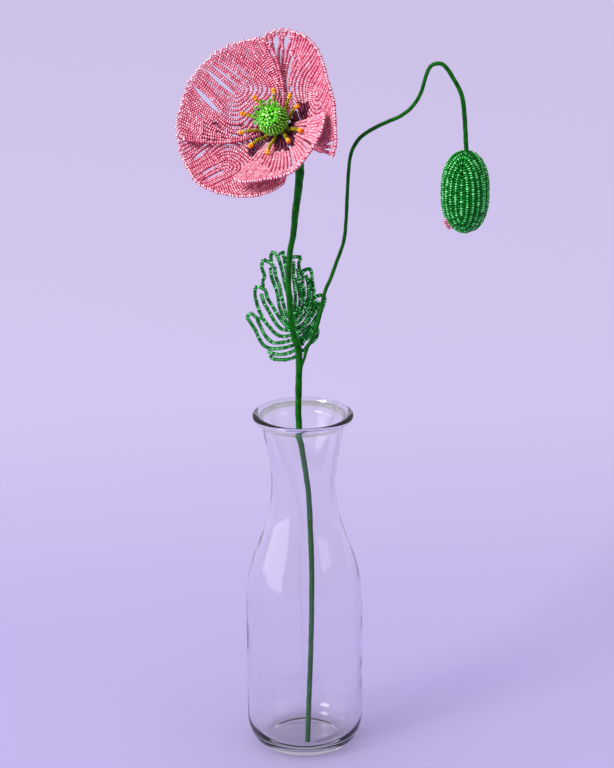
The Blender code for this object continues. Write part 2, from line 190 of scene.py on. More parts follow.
# Bottle: the CAD's main measures, turned here with finer steps
BOTTLE_HEIGHT = 250.0
BASE_FLAT_RADIUS = 26.6
BODY_RADIUS = 41.0
HEEL_HEIGHT = 22.0
WALL = 2.8
FLOOR_THICKNESS = 6.5
LIP_RING_RADIUS = 32.5
LIP_HALF_WIDTH = 2.7
LIP_HALF_HEIGHT = 2.0
# Height and outer radius
SHOULDER = [
    (22.0, 41.0), (60.0, 41.1), (100.0, 41.0), (122.0, 40.3), (140.0, 36.4), (155.0, 31.2),
    (170.0, 26.2), (185.0, 23.3), (200.0, 22.4), (215.0, 23.8), (230.0, 26.6), (241.0, 28.4),
]


# ---------------------------------------------------------------- camera, floor and light


def add_camera():
    """A long lens from the front, looking a little down."""
    data = bpy.data.cameras.new("camera")
    data.lens = CAMERA_LENS
    data.sensor_width = 36.0
    data.clip_end = 60.0
    camera = bpy.data.objects.new("camera", data)
    bpy.context.scene.collection.objects.link(camera)
    tilt = Matrix.Rotation(math.radians(90 - CAMERA_TILT), 4, "X")
    roll = Matrix.Rotation(math.radians(CAMERA_ROLL), 4, "Z")
    camera.matrix_world = Matrix.Translation(CAMERA_PLACE) @ tilt @ roll
    bpy.context.scene.camera = camera


def add_floor():
    """A sheet of lilac paper, drawn a little darker and bluer towards the front."""
    mesh = bpy.data.meshes.new("floor")
    half = PAPER_HALF_WIDTH
    corners = [(-half, -half, 0), (half, -half, 0), (half, half, 0), (-half, half, 0)]
    mesh.from_pydata(corners, [], [(0, 1, 2, 3)])
    floor = bpy.data.objects.new("floor", mesh)
    bpy.context.scene.collection.objects.link(floor)
    paper = bpy.data.materials.new("pale_paper")
    paper.use_nodes = True
    nodes, links = paper.node_tree.nodes, paper.node_tree.links
    shader = nodes["Principled BSDF"]
    place = nodes.new("ShaderNodeTexCoord")
    split = nodes.new("ShaderNodeSeparateXYZ")
    links.new(place.outputs["Object"], split.inputs["Vector"])
    back = nodes.new("ShaderNodeMapRange")
    back.inputs["From Min"].default_value = 0.0
    back.inputs["From Max"].default_value = PAPER_FADE
    links.new(split.outputs["Y"], back.inputs["Value"])
    fade = ramp(nodes, [(0.08, (0.505, 0.45, 0.75)), (0.3, (0.61, 0.555, 0.80)), (1.0, (0.62, 0.56, 0.775))])
    links.new(back.outputs["Result"], fade.inputs["Fac"])
    links.new(fade.outputs["Color"], shader.inputs["Base Color"])
    shader.inputs["Roughness"].default_value = 0.9
    shader.inputs["Specular IOR Level"].default_value = 0.1
    mesh.materials.append(paper)


def add_softbox(name, place, size, power, colour=(1, 1, 1)):
    """A rectangular light that faces the object."""
    data = bpy.data.lights.new(name, "AREA")
    data.shape = "RECTANGLE"
    data.size, data.size_y = size
    data.energy = power
    data.color = colour
    lamp = bpy.data.objects.new(name, data)
    bpy.context.scene.collection.objects.link(lamp)
    lamp.location = place
    lamp.rotation_euler = (Vector(LIGHT_TARGET) - Vector(place)).to_track_quat("-Z", "Y").to_euler()


def add_lights():
    """A soft sun from the left as key, a window to mirror in the glass, and weaker lights round them."""
    data = bpy.data.lights.new("key", "SUN")
    data.energy = 2.5
    data.angle = math.radians(20)
    data.color = (1, 0.98, 0.96)
    key = bpy.data.objects.new("key", data)
    bpy.context.scene.collection.objects.link(key)
    key.rotation_euler = Vector(KEY_DIRECTION).to_track_quat("-Z", "Y").to_euler()
    add_softbox("window", (-1.9, -0.5, 0.75), (2.3, 1.5), 17)
    add_softbox("fill", (2.1, -1.4, 1.3), (1.4, 1.4), 6, (0.96, 0.96, 1))
    # Without caustics the glass gathers no bright patch on the floor beside the bottle.
    bpy.context.scene.cycles.caustics_reflective = False
    bpy.context.scene.cycles.caustics_refractive = False
    world = bpy.data.worlds.new("studio")
    bpy.context.scene.world = world
    world.use_nodes = True
    backdrop = world.node_tree.nodes["Background"]
    backdrop.inputs["Color"].default_value = (0.84, 0.80, 0.95, 1)
    backdrop.inputs["Strength"].default_value = 0.55


# ---------------------------------------------------------------- materials


def node_material(name):
    """A new material with its nodes, links and main shader."""
    made = bpy.data.materials.new(name)
    made.use_nodes = True
    nodes = made.node_tree.nodes
    return made, nodes, made.node_tree.links, nodes["Principled BSDF"]


def ramp(nodes, stops):
    """A colour ramp through (position, linear colour) stops."""
    made = nodes.new("ShaderNodeValToRGB")
    elements = made.color_ramp.elements
    while len(elements) < len(stops):
        elements.new(0.5)
    for element, (position, colour) in zip(elements, stops):
        element.position = position
        element.color = (*colour, 1.0)
    return made


def bead_material(name, stops, roughness, gloss, metallic=0.0, subsurface=0.0):
    """Glass beads whose colour runs through the stops with each bead's own tone and its painted highlight and
    painted shade.

    Gloss is the tint of what they mirror."""
    made, nodes, links, shader = node_material(name)
    tone = nodes.new("ShaderNodeAttribute")
    tone.attribute_name = "tone"
    colours = ramp(nodes, stops)
    links.new(tone.outputs["Fac"], colours.inputs["Fac"])
    links.new(colours.outputs["Color"], shader.inputs["Base Color"])
    shader.inputs["Roughness"].default_value = roughness
    shader.inputs["Metallic"].default_value = metallic
    shader.inputs["Specular IOR Level"].default_value = 0.6
    shader.inputs["Specular Tint"].default_value = (*gloss, 1)
    shader.inputs["Subsurface Weight"].default_value = subsurface
    shader.inputs["Subsurface Radius"].default_value = (1.0, 0.5, 0.5)
    shader.inputs["Subsurface Scale"].default_value = 0.001
    return made


def wire_material():
    """Thin copper-coloured wire."""
    made, nodes, links, shader = node_material("wire")
    noise = nodes.new("ShaderNodeTexNoise")
    noise.inputs["Scale"].default_value = 900
    colours = ramp(nodes, [(0.3, (0.42, 0.24, 0.2)), (0.7, (0.62, 0.4, 0.34))])
    links.new(noise.outputs["Fac"], colours.inputs["Fac"])
    links.new(colours.outputs["Color"], shader.inputs["Base Color"])
    shader.inputs["Metallic"].default_value = 0.9
    shader.inputs["Roughness"].default_value = 0.35
    return made


def tape_material():
    """Waxed crepe tape: fine wrinkles across it, and a mottled green."""
    made, nodes, links, shader = node_material("green_tape")
    place = nodes.new("ShaderNodeTexCoord")
    noise = nodes.new("ShaderNodeTexNoise")
    noise.inputs["Scale"].default_value = 260
    noise.inputs["Detail"].default_value = 4
    links.new(place.outputs["Object"], noise.inputs["Vector"])
    greens = [(0.25, (0.0, 0.04, 0.001)), (0.5, (0.003, 0.105, 0.002)), (0.8, (0.012, 0.2, 0.004))]
    colours = ramp(nodes, greens)
    links.new(noise.outputs["Fac"], colours.inputs["Fac"])
    links.new(colours.outputs["Color"], shader.inputs["Base Color"])
    crepe = nodes.new("ShaderNodeTexWave")
    crepe.bands_direction = "Z"
    crepe.inputs["Scale"].default_value = 420
    crepe.inputs["Distortion"].default_value = 6
    crepe.inputs["Detail"].default_value = 3
    links.new(place.outputs["Object"], crepe.inputs["Vector"])
    bump = nodes.new("ShaderNodeBump")
    bump.inputs["Strength"].default_value = 0.35
    bump.inputs["Distance"].default_value = 0.0003
    links.new(crepe.outputs["Fac"], bump.inputs["Height"])
    links.new(bump.outputs["Normal"], shader.inputs["Normal"])
    shader.inputs["Roughness"].default_value = 0.42
    shader.inputs["Specular IOR Level"].default_value = 0.25
    shader.inputs["Specular Tint"].default_value = (0.25, 1.0, 0.35, 1)
    return made


def glass_material():
    """Clear glass that lets light through to what stands in and under it."""
    made, nodes, links, shader = node_material("clear_glass")
    shader.inputs["Base Color"].default_value = (0.975, 0.97, 0.98, 1)
    shader.inputs["Roughness"].default_value = 0.0
    shader.inputs["IOR"].default_value = 1.5
    shader.inputs["Transmission Weight"].default_value = 1.0
    place = nodes.new("ShaderNodeTexCoord")
    ripple = nodes.new("ShaderNodeTexNoise")
    ripple.inputs["Scale"].default_value = 38
    ripple.inputs["Detail"].default_value = 1
    links.new(place.outputs["Object"], ripple.inputs["Vector"])
    bump = nodes.new("ShaderNodeBump")
    bump.inputs["Strength"].default_value = 0.18
    bump.inputs["Distance"].default_value = 0.0015
    links.new(ripple.outputs["Fac"], bump.inputs["Height"])
    links.new(bump.outputs["Normal"], shader.inputs["Normal"])
    clear = nodes.new("ShaderNodeBsdfTransparent")
    clear.inputs["Color"].default_value = (0.95, 0.94, 0.96, 1)
    path = nodes.new("ShaderNodeLightPath")
    mix = nodes.new("ShaderNodeMixShader")
    links.new(path.outputs["Is Shadow Ray"], mix.inputs["Fac"])
    links.new(shader.outputs["BSDF"], mix.inputs[1])
    links.new(clear.outputs["BSDF"], mix.inputs[2])
    links.new(mix.outputs["Shader"], nodes["Material Output"].inputs["Surface"])
    return made


# ---------------------------------------------------------------- curves and meshes


def unit(vector):
    """Each vector scaled to length 1."""
    return vector / np.linalg.norm(vector, axis=-1, keepdims=True)


def through(values, t):
    """The value at t on a smooth curve through values, which lie at 0, 1, 2 and so on."""
    values = np.asarray(values, float)
    last = len(values) - 1
    t = np.asarray(t, float)
    i = np.clip(np.floor(t).astype(int), 0, last - 1)
    b, c = values[i], values[i + 1]
    before = 2 * values[0] - values[1]
    after = 2 * values[-1] - values[-2]
    padded = np.concatenate([[before], values, [after]])
    a, d = padded[i], padded[i + 3]
    f = t - i
    if values.ndim > 1:
        f = np.expand_dims(f, -1)
    return 0.5 * (2 * b + (c - a) * f + (2 * a - 5 * b + 4 * c - d) * f**2 + (3 * b - 3 * c + d - a) * f**3)


def run_length(points):
    """The length along points at each of them."""
    return np.concatenate([[0], np.cumsum(np.linalg.norm(np.diff(points, axis=0), axis=1))])


def at_length(points, run, where):
    """Places on the line through points at the lengths in where."""
    return np.column_stack([np.interp(where, run, points[:, k]) for k in range(3)])


def side_frames(direction):
    """Two unit vectors square to each direction."""
    helper = np.where(np.abs(direction[:, 2:3]) < 0.9, [[0.0, 0, 1]], [[1.0, 0, 0]])
    first = unit(np.cross(direction, helper))
    return first, np.cross(direction, first)


def tube_mesh(points, radii, sides):
    """Vertices and quads of a closed-ended tube along points; radii is one number or (rings, sides)."""
    points = np.asarray(points, float)
    direction = unit(np.gradient(points, axis=0))
    first = np.zeros_like(points)
    first[0] = side_frames(direction[:1])[0][0]
    for k in range(1, len(points)):
        carried = first[k - 1] - direction[k] * (first[k - 1] @ direction[k])
        first[k] = carried / np.linalg.norm(carried)
    second = np.cross(direction, first)
    angle = np.arange(sides) * TURN / sides
    ring = np.cos(angle)[None, :, None] * first[:, None, :]
    ring = ring + np.sin(angle)[None, :, None] * second[:, None, :]
    radii = np.broadcast_to(np.asarray(radii, float), (len(points), sides))
    verts = (points[:, None, :] + ring * radii[:, :, None]).reshape(-1, 3)
    faces = []
    for k in range(len(points) - 1):
        for j in range(sides):
            a, b = k * sides + j, k * sides + (j + 1) % sides
            faces.append((a, b, b + sides, a + sides))
    faces.append(tuple(range(sides))[::-1])
    faces.append(tuple((len(points) - 1) * sides + j for j in range(sides)))
    return verts, faces


BEAD_SIDES = 8
# How much paler a painted highlight makes the middle of a bead on its sides towards and away from its crown
PAINTED_HIGHLIGHT_TONE = 0.55
# Radius, height and painted light there: a little paler round the middle, and darker towards the ends as
# painted shade between neighbouring beads
BEAD_PROFILE = [
    (0.4, -0.62, -0.4), (0.8, -0.52, -0.25), (0.98, -0.2, 0.05), (0.98, 0.2, 0.05), (0.8, 0.52, -0.25),
    (0.4, 0.62, -0.4),
]


def bead_shape():
    """A seed bead of radius 1 along z: its vertices and faces."""
    verts = []
    for radius, height, _ in BEAD_PROFILE:
        for j in range(BEAD_SIDES):
            angle = j * TURN / BEAD_SIDES
            verts.append((radius * math.cos(angle), radius * math.sin(angle), height))
    faces = []
    for k in range(len(BEAD_PROFILE) - 1):
        for j in range(BEAD_SIDES):
            a, b = k * BEAD_SIDES + j, k * BEAD_SIDES + (j + 1) % BEAD_SIDES
            faces.append((a, b, b + BEAD_SIDES, a + BEAD_SIDES))
    faces.append(tuple(range(BEAD_SIDES))[::-1])
    top = (len(BEAD_PROFILE) - 1) * BEAD_SIDES
    faces.append(tuple(top + j for j in range(BEAD_SIDES)))
    return np.array(verts), faces


def put_mesh(name, verts, faces, materials, looks=None, tones=None):
    """A smooth mesh object from vertices in mm."""
    mesh = bpy.data.meshes.new(name)
    mesh.from_pydata((np.asarray(verts) * MM).tolist(), [], faces)
    for material in materials:
        mesh.materials.append(material)
    if looks is not None:
        mesh.polygons.foreach_set("material_index", np.asarray(looks, np.int32))
    if tones is not None:
        # The tone holds each bead's own tone together with its painted highlight and painted shade
        attribute = mesh.attributes.new("tone", "FLOAT", "POINT")
        attribute.data.foreach_set("value", np.asarray(tones, np.float32))
    mesh.shade_smooth()
    obj = bpy.data.objects.new(name, mesh)
    bpy.context.scene.collection.objects.link(obj)
    return obj


class Beadwork:
    """Beads strung on wires, gathered into one piece."""

    def __init__(self, seed):
        self.random = np.random.default_rng(seed)
        self.places = np.zeros((0, 3))
        self.directions = np.zeros((0, 3))
        self.sizes = np.zeros(0)
        self.looks = np.zeros(0, int)
        self.tones = np.zeros(0)
        self.crowns = np.zeros((0, 3))
        self.wires = []

    def string(self, points, radius=BEAD_RADIUS, pitch=BEAD_PITCH, look=0, clear=0.0, cut=False, tone=0.5,
               spread=0.12, crown=(0, 0, 1)):
        """Beads at an even pitch along points. Those nearer than clear to earlier beads are left out, and
        with cut so are all that come before them. The sides towards and away from crown get a painted
        highlight."""
        points = np.asarray(points, float)
        run = run_length(points)
        count = max(1, round(run[-1] / pitch))
        where = (np.arange(count) + 0.5) * run[-1] / count
        places = at_length(points, run, where)
        ahead = at_length(points, run, np.minimum(where + 0.4 * pitch, run[-1]))
        behind = at_length(points, run, np.maximum(where - 0.4 * pitch, 0))
        directions = unit(ahead - behind)
        looks = look(places) if callable(look) else np.full(count, look)
        tones = tone + self.random.normal(0, spread, count)
        keep = np.ones(count, bool)
        if clear and len(self.places):
            gaps = np.linalg.norm(places[:, None, :] - self.places[None, :, :], axis=2).min(axis=1)
            keep = gaps > clear
            if cut:
                keep = np.cumprod(keep[::-1])[::-1].astype(bool)
        places = places + self.random.normal(0, 0.05, places.shape)
        directions = unit(directions + self.random.normal(0, 0.05, directions.shape))
        self.places = np.vstack([self.places, places[keep]])
        self.directions = np.vstack([self.directions, directions[keep]])
        self.sizes = np.append(self.sizes, (radius * self.random.normal(1, 0.03, count))[keep])
        self.looks = np.append(self.looks, looks[keep])
        if callable(crown):
            crowns = crown(places)
        else:
            crowns = np.broadcast_to(np.asarray(crown, float), places.shape)
        self.crowns = np.vstack([self.crowns, crowns[keep]])
        self.tones = np.append(self.tones, np.clip(tones, 0, 1)[keep])
        if keep.sum() > 1:
            first, last = np.flatnonzero(keep)[[0, -1]]
            steps = max(2, round((where[last] - where[first]) / WIRE_STEP))
            strung = np.linspace(where[first], where[last], steps)
            self.wires.append(at_length(points, run, strung))

    def build(self, name, materials):
        """The piece, whose last material is the wire's."""
        shape, shape_faces = bead_shape()
        ahead = np.sum(self.crowns * self.directions, axis=1)[:, None] * self.directions
        across = unit(self.crowns - ahead + 1e-6)
        along = np.cross(self.directions, across)
        axes = np.stack([across, along, self.directions], axis=1)
        verts = self.places[:, None, :] + self.sizes[:, None, None] * (shape @ axes)
        verts = verts.reshape(-1, 3)
        faces = [tuple(v + k * len(shape) for v in f) for k in range(len(self.places)) for f in shape_faces]
        looks = np.repeat(self.looks, len(shape_faces))
        # Painted light in each bead's tone: a painted highlight towards and away from its crown, and painted
        # shade at its ends
        crown = np.cos(np.arange(BEAD_SIDES) * TURN / BEAD_SIDES) ** 4
        painted_light = np.concatenate([tone + PAINTED_HIGHLIGHT_TONE * (crown if radius > 0.9 else 0 * crown) - 0.15
                                for radius, _, tone in BEAD_PROFILE])
        tones = (self.tones[:, None] + painted_light).reshape(-1)
        parts, start = [verts], len(verts)
        for points in self.wires:
            wire_verts, wire_faces = tube_mesh(points, WIRE_RADIUS, WIRE_SIDES)
            faces += [tuple(v + start for v in f) for f in wire_faces]
            looks = np.append(looks, np.full(len(wire_faces), len(materials) - 1))
            tones = np.append(tones, np.full(len(wire_verts), 0.5))
            parts.append(wire_verts)
            start += len(wire_verts)
        obj = put_mesh(name, np.vstack(parts), faces, materials, looks, tones)
        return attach(obj, "root")


# ---------------------------------------------------------------- bottle


def arc(centre, half_width, half_height, start, end, steps):
    """Points on part of an ellipse, between two angles."""
    angles = np.radians(np.linspace(start, end, steps + 1))
    return [(centre[0] + half_width * math.cos(a), centre[1] + half_height * math.sin(a)) for a in angles]


def outer_radius(height):
    """The bottle's outer radius above its heel."""
    heights = [z for z, _ in SHOULDER]
    i = max(k for k in range(len(heights) - 1) if heights[k] <= height)
    share = (height - heights[i]) / (heights[i + 1] - heights[i])
    return float(through([r for _, r in SHOULDER], i + share))


def make_bottle():
    """The glass, turned from its profile: up the inside, over the lip and down the outside."""
    levels = np.linspace(HEEL_HEIGHT, SHOULDER[-1][0], 74)
    heel_middle = (BASE_FLAT_RADIUS, HEEL_HEIGHT)
    heel_width = BODY_RADIUS - BASE_FLAT_RADIUS
    inner_heel = arc(heel_middle, heel_width - WALL, HEEL_HEIGHT - FLOOR_THICKNESS, -90, 0, 14)
    floor_radii = np.linspace(0.6, 25.5, 12)
    floor = [(r, FLOOR_THICKNESS + 1.6 * (1 - (r / BASE_FLAT_RADIUS) ** 2)) for r in floor_radii]
    inside = floor + inner_heel[:-1]
    inside += [(outer_radius(z) - WALL, z) for z in levels]
    lip_middle = (LIP_RING_RADIUS, BOTTLE_HEIGHT - LIP_HALF_HEIGHT)
    lip = arc(lip_middle, LIP_HALF_WIDTH, LIP_HALF_HEIGHT, 200, -60, 22)
    outside = [(outer_radius(z), z) for z in levels[::-1]]
    outside += arc(heel_middle, heel_width, HEEL_HEIGHT, 0, -90, 16)[1:]
    under = [(24.0, 0.1), (22.0, 0.8)] + [(r, 2.6 - 1.8 * (r / 22) ** 2) for r in np.linspace(20, 0.6, 8)]
    profile = inside + lip + outside + under
    sides = 128
    verts, faces = [(0.0, 0.0, profile[0][1])], []
    for radius, height in profile:
        for j in range(sides):
            angle = j * TURN / sides
            verts.append((radius * math.cos(angle), radius * math.sin(angle), height))
    verts.append((0.0, 0.0, profile[-1][1]))
    for j in range(sides):
        following = (j + 1) % sides
        faces.append((0, 1 + j, 1 + following))
        for k in range(len(profile) - 1):
            a, b = 1 + k * sides + j, 1 + k * sides + following
            faces.append((a, a + sides, b + sides, b))
        last = 1 + (len(profile) - 1) * sides
        faces.append((len(verts) - 1, last + following, last + j))
    bottle = put_mesh("bottle_glass", verts, faces, [glass_material()])
    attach(bottle, "root")
    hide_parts("glass_bottle")


# ---------------------------------------------------------------- stems


def make_stem(name, node, stations, seed, material):
    """Wire wound with tape: a tube with the tape's overlapping edge running round it."""
    random = np.random.default_rng(seed)
    count = len(stations)
    fine = np.linspace(0, count - 1, count * 30)
    points = through([p for p, _ in stations], fine)
    radii = through([r for _, r in stations], fine)
    run = run_length(points)
    where = np.arange(0, run[-1], 0.7)
    centre = at_length(points, run, where)
    radius = np.interp(where, run, radii)
    sides = 20
    angle = np.arange(sides) / sides
    wind = (where[:, None] / 9.0 + angle[None, :]) % 1.0
    edge = 0.07 * wind - 0.02
    lumps = random.normal(0, 1, (len(where) // 8 + 3, 4))
    slow = through(lumps, np.linspace(0, len(lumps) - 1.001, len(where)))
    round_tube = TURN * angle
    swell = 0.025 * (slow[:, :1] + slow[:, 1:2] * np.cos(round_tube) + slow[:, 2:3] * np.sin(round_tube))
    verts, faces = tube_mesh(centre, radius[:, None] * (1 + edge + swell), sides)
    stem = put_mesh(name, verts, faces, [material])
    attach(stem, "root")
    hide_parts(node)


# ---------------------------------------------------------------- flower head


def middle_of(node):
    """The middle of a CAD node's box."""
    low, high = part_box(node)
    return np.array((low + high) / 2) / MM


def flower_axes():
    """Two directions square to the one the flower faces: to its right and to its top."""
    right = unit(np.array([1.0, 0, 0]) - FLOWER_FACING[0] * FLOWER_FACING)
    return right, np.cross(FLOWER_FACING, right)


FLOWER_BASE = middle_of("seed_pod") - POD_HEIGHT * FLOWER_FACING
FLOWER_RIGHT, FLOWER_TOP = flower_axes()


def flower_point(azimuth, reach, rise):
    """Places in the flower head from angle in degrees, distance from its axis and height along it."""
    angle = np.radians(np.asarray(azimuth, float))[..., None]
    reach = np.asarray(reach, float)[..., None]
    rise = np.asarray(rise, float)[..., None]
    outward = np.cos(angle) * FLOWER_RIGHT + np.sin(angle) * FLOWER_TOP
    return FLOWER_BASE + reach * outward + rise * FLOWER_FACING


def petal_surface(shape, across, along):
    """Across runs from -1 to 1 between the petal's sides, along from 0 at the axis to 1 at its edge."""
    across = np.clip(across, -1, 1)
    station = 2 + 2 * across
    reach = through(shape["reach"], station) * along * (1.12 - 0.12 * along**2)
    wave = 0.8 * np.sin(5.3 * across + shape["seed"]) * along**4
    rise = through(shape["rise"], station) * along**1.55 - shape["drop"] + wave
    middle = shape["azimuth"][2]
    turned = through(shape["azimuth"], station) - middle
    return flower_point(middle + turned * (1 + shape["spread"] * (1 - along)), reach, rise)


def edge_along(across):
    """How far out the petal's rows end: its corners are rounded off."""
    corner = np.clip((np.abs(across) - 0.8) / 0.2, 0, 1)
    return 0.975 - 0.09 * corner**2.2


def axis_distance(places):
    """How far places are from the flower's axis."""
    rel = places - FLOWER_BASE
    return np.linalg.norm(rel - (rel @ FLOWER_FACING)[:, None] * FLOWER_FACING, axis=1)


def half_width(shape, side):
    """The length of the petal's edge on one side of its middle."""
    azimuth = shape["azimuth"]
    return math.radians(abs(azimuth[2 + 2 * side] - azimuth[2])) * shape["reach"][2]


def row_count(shape, side):
    """How many rows fit between the petal's middle and one side."""
    return round(half_width(shape, side) / shape["edge_pitch"])


def lean(shape, row, along):
    """How far in mm a row moves sideways to open the slits beside it."""
    moved = np.zeros_like(along)
    for low, start, end, width in shape["slits"]:
        share = {low: -0.5, low + 1: 0.5, low - 1: -0.22, low + 2: 0.22}.get(row, 0.0)
        moved += share * width * np.sin(math.pi * np.clip((along - start) / (end - start), 0, 1)) ** 0.8
    return moved


def petal_loops(shape):
    """Loops nested round a middle slit, as (across, along)."""
    reach, nest = shape["reach"][2], shape["nest"]
    for i in range(shape["loops"]):
        radius = (i + 0.5) * ROW_PITCH
        angle = np.radians(np.linspace(-90, 90, 9 + 4 * i))
        bend_along = nest - radius * np.cos(angle) / (1.1 * reach)
        wide = np.where(angle < 0, half_width(shape, -1), half_width(shape, 1))
        bend_across = radius * np.sin(angle) / (wide * bend_along)
        legs = []
        for side in (-1, 1):
            wide = half_width(shape, side)
            along = np.linspace(edge_along(radius / wide), nest, 36)[:-1]
            moved = side * radius + lean(shape, i if side > 0 else -i - 1, along)
            legs.append((moved / (wide * along), along))
        across = np.concatenate([legs[0][0], bend_across, legs[1][0][::-1]])
        yield across, np.concatenate([legs[0][1], bend_along, legs[1][1][::-1]])


def petal_sides(shape):
    """Rows from the axis to the edge beside the loops, as (across, along), the outermost first."""
    reach, nest, loops = shape["reach"][2], shape["nest"], shape["loops"]
    for side in (-1, 1):
        wide, rows = half_width(shape, side), row_count(shape, side)
        order = [rows - 1] + [i for step in (8, 4, 2, 1) for i in range(loops + step - 1, rows - 1, step)]
        for i in dict.fromkeys(order):
            along = np.linspace(PETAL_START, edge_along((i + 0.5) / rows), 60)
            bend = np.clip((nest - along) * 1.1 * reach / (loops * ROW_PITCH), 0, 1)
            inner = np.clip(loops * ROW_PITCH * np.sqrt(1 - bend**2) / (wide * along), 0, 0.93)
            plain = inner + (i - loops + 0.5) / (rows - loops) * (1 - inner)
            moved = lean(shape, i if side > 0 else -i - 1, along)
            yield side * plain + moved / (wide * along), along


def petal_rim(shape):
    """The edge row as (across, along): small bulges between the ends of neighbouring rows."""
    rows = row_count(shape, -1) + row_count(shape, 1)
    across = np.linspace(-0.99, 0.99, 8 * rows)
    bulge = np.abs(np.sin(math.pi * across * rows / 4))
    uneven = 0.35 * np.sin(11 * across + shape["seed"]) + 0.25 * np.sin(29 * across)
    return across, edge_along(across) + 0.004 + 0.022 * bulge * (1 + uneven)


def make_petal(name, shape, materials):
    """Nested loops of beads round a slit that opens to the edge, rows beside them, and a beaded edge."""
    work = Beadwork(shape["seed"])

    def look(places):
        rel = places - FLOWER_BASE
        turned = np.degrees(np.arctan2(rel @ FLOWER_TOP, rel @ FLOWER_RIGHT)) - shape["azimuth"][2]
        turned = np.abs((turned + 180) % 360 - 180)
        limit = shape["dark"] - (shape["dark"] - DARK_SIDE_REACH) * np.clip(turned / 42, 0, 1) ** 1.5
        return np.where(axis_distance(places) < limit + work.random.normal(0, 1.0), 2, 0)

    number = 0
    for rows, cut, clear in (
        (petal_loops(shape), False, LOOP_CLEARANCE), (petal_sides(shape), True, SIDE_CLEARANCE),
    ):
        for across, along in rows:
            lift = 0.25 * FLOWER_FACING * (1 if number % 2 else -1)
            work.string(petal_surface(shape, across, along) + lift, look=look, clear=clear, cut=cut,
                        tone=shape["tone"], crown=FLOWER_FACING)
            number += 1
    for reach in np.arange(5.5, 23, 2.2):
        across = np.linspace(-0.97, 0.97, 40)
        base = petal_surface(shape, across, np.full(40, reach / shape["reach"][2]))
        work.string(base, look=look, clear=BASE_CLEARANCE, crown=FLOWER_FACING)
    work.string(petal_surface(shape, *petal_rim(shape)), radius=1.1, pitch=1.5, look=1, clear=RIM_CLEARANCE,
                tone=0.6, crown=FLOWER_FACING)
    petal = work.build(name + "_beads", materials)
    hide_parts(name)


def make_pod(materials):
    """Rows of beads wound round a ball, with a crown of small loops on its far end."""
    work = Beadwork(21)
    middle_place = flower_point(0, 0, POD_HEIGHT)

    def outward(places):
        return unit(places - middle_place)

    rings = 12
    for k in range(rings):
        polar = math.pi * (k + 0.5) / rings
        angle = np.linspace(0, 360, 60)
        radius = (POD_RADIUS - 0.9) * math.sin(polar)
        height = POD_HEIGHT - (POD_RADIUS - 0.9) * math.cos(polar)
        wobble = 0.35 * work.random.normal(0, 1, 12)
        drift = through(np.append(wobble, wobble[0]), angle / 30)
        ring = flower_point(angle + 20 * k, radius + 0.5 * drift, height + drift)
        work.string(ring, radius=1.45, pitch=2.0, tone=0.6, crown=outward)
    crown_loops = 10
    for k in range(crown_loops):
        middle = 360 * k / crown_loops
        turn = np.radians(np.linspace(0, 360, 24))
        reach = 7.4 + 2.8 * np.cos(turn)
        azimuth = middle + np.degrees(1.7 * np.sin(turn) / reach)
        rise = POD_HEIGHT + POD_RADIUS - 1.0 + 2.0 * np.cos(turn)
        work.string(flower_point(azimuth, reach, rise), radius=0.85, pitch=1.35, tone=0.65)
    pod = work.build("seed_pod_beads", materials)
    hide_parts("seed_pod", "pod_crown")


def make_stamens(materials):
    """Two strands of small beads twisted together, with large amber beads on the tip."""
    for number, (azimuth, length) in enumerate(STAMENS, 1):
        work = Beadwork(30 + number)
        share = np.linspace(0, 1, 40)
        reach = STAMEN_FOOT + STAMEN_REACH * length * share
        rise = through([3.7, 5.2, 7.8, 11.0, 12.2], 4 * share)
        centre = flower_point(np.full(40, azimuth), reach, rise)
        direction = unit(np.gradient(centre, axis=0))
        first, second = side_frames(direction)
        for strand in (0, math.pi):
            twist = (strand + STAMEN_TWIST * share)[:, None]
            offset = 0.62 * (np.cos(twist) * first + np.sin(twist) * second)
            work.string(centre + offset, radius=0.85, pitch=1.25, crown=FLOWER_FACING)
        end = centre[-1]
        work.string([end + 0.4 * direction[-1], end + 2.4 * direction[-1]], radius=1.55, pitch=2.4, look=1)
        work.string([end + 2.3 * direction[-1], end + 4.3 * direction[-1]], radius=1.7, pitch=2.4, look=1)
        node = f"stamen_{number:02d}"
        stamen = work.build(node + "_beads", materials)
        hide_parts(node)


# ---------------------------------------------------------------- leaf


LEAF_BASE = np.array([-1.2, 29.6, 286.0])
LEAF_FOOT = np.array([[-2.6, 26.0, 276.0], [-1.9, 27.6, 280.5]])


def leaf_point(side, along, out):
    """A place on the leaf from its side (-1 left, 1 right), along its midrib and out from it."""
    across = unit(np.array([1.0, 0, 0]) - LEAF_UP[0] * LEAF_UP)
    facing = np.cross(across, LEAF_UP)
    if side > 0:
        fold = math.radians(LEAF_FOLD)
        across = math.cos(fold) * across - math.sin(fold) * facing
    along = np.asarray(along, float)[..., None]
    out = np.asarray(out, float)[..., None]
    return LEAF_BASE + along * LEAF_UP + side * out * across


def make_leaf(materials):
    """Lobes of bead loops on both sides of a midrib."""
    work = Beadwork(51)
    midrib = np.vstack([LEAF_FOOT, leaf_point(-1, np.linspace(-2, 71, 30), np.zeros(30))])
    work.string(midrib, **LEAF_BEADS)
    for side, rows in ((-1, LEFT_ROWS), (1, RIGHT_ROWS)):
        for row in rows:
            along, out = through(row, np.linspace(0, len(row) - 1, 14 * len(row))).T
            work.string(leaf_point(side, along, np.maximum(out, 0)), clear=1.2, **LEAF_BEADS)
    leaf = work.build("leaf_beads", materials)
    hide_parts("leaf")


# ---------------------------------------------------------------- bud


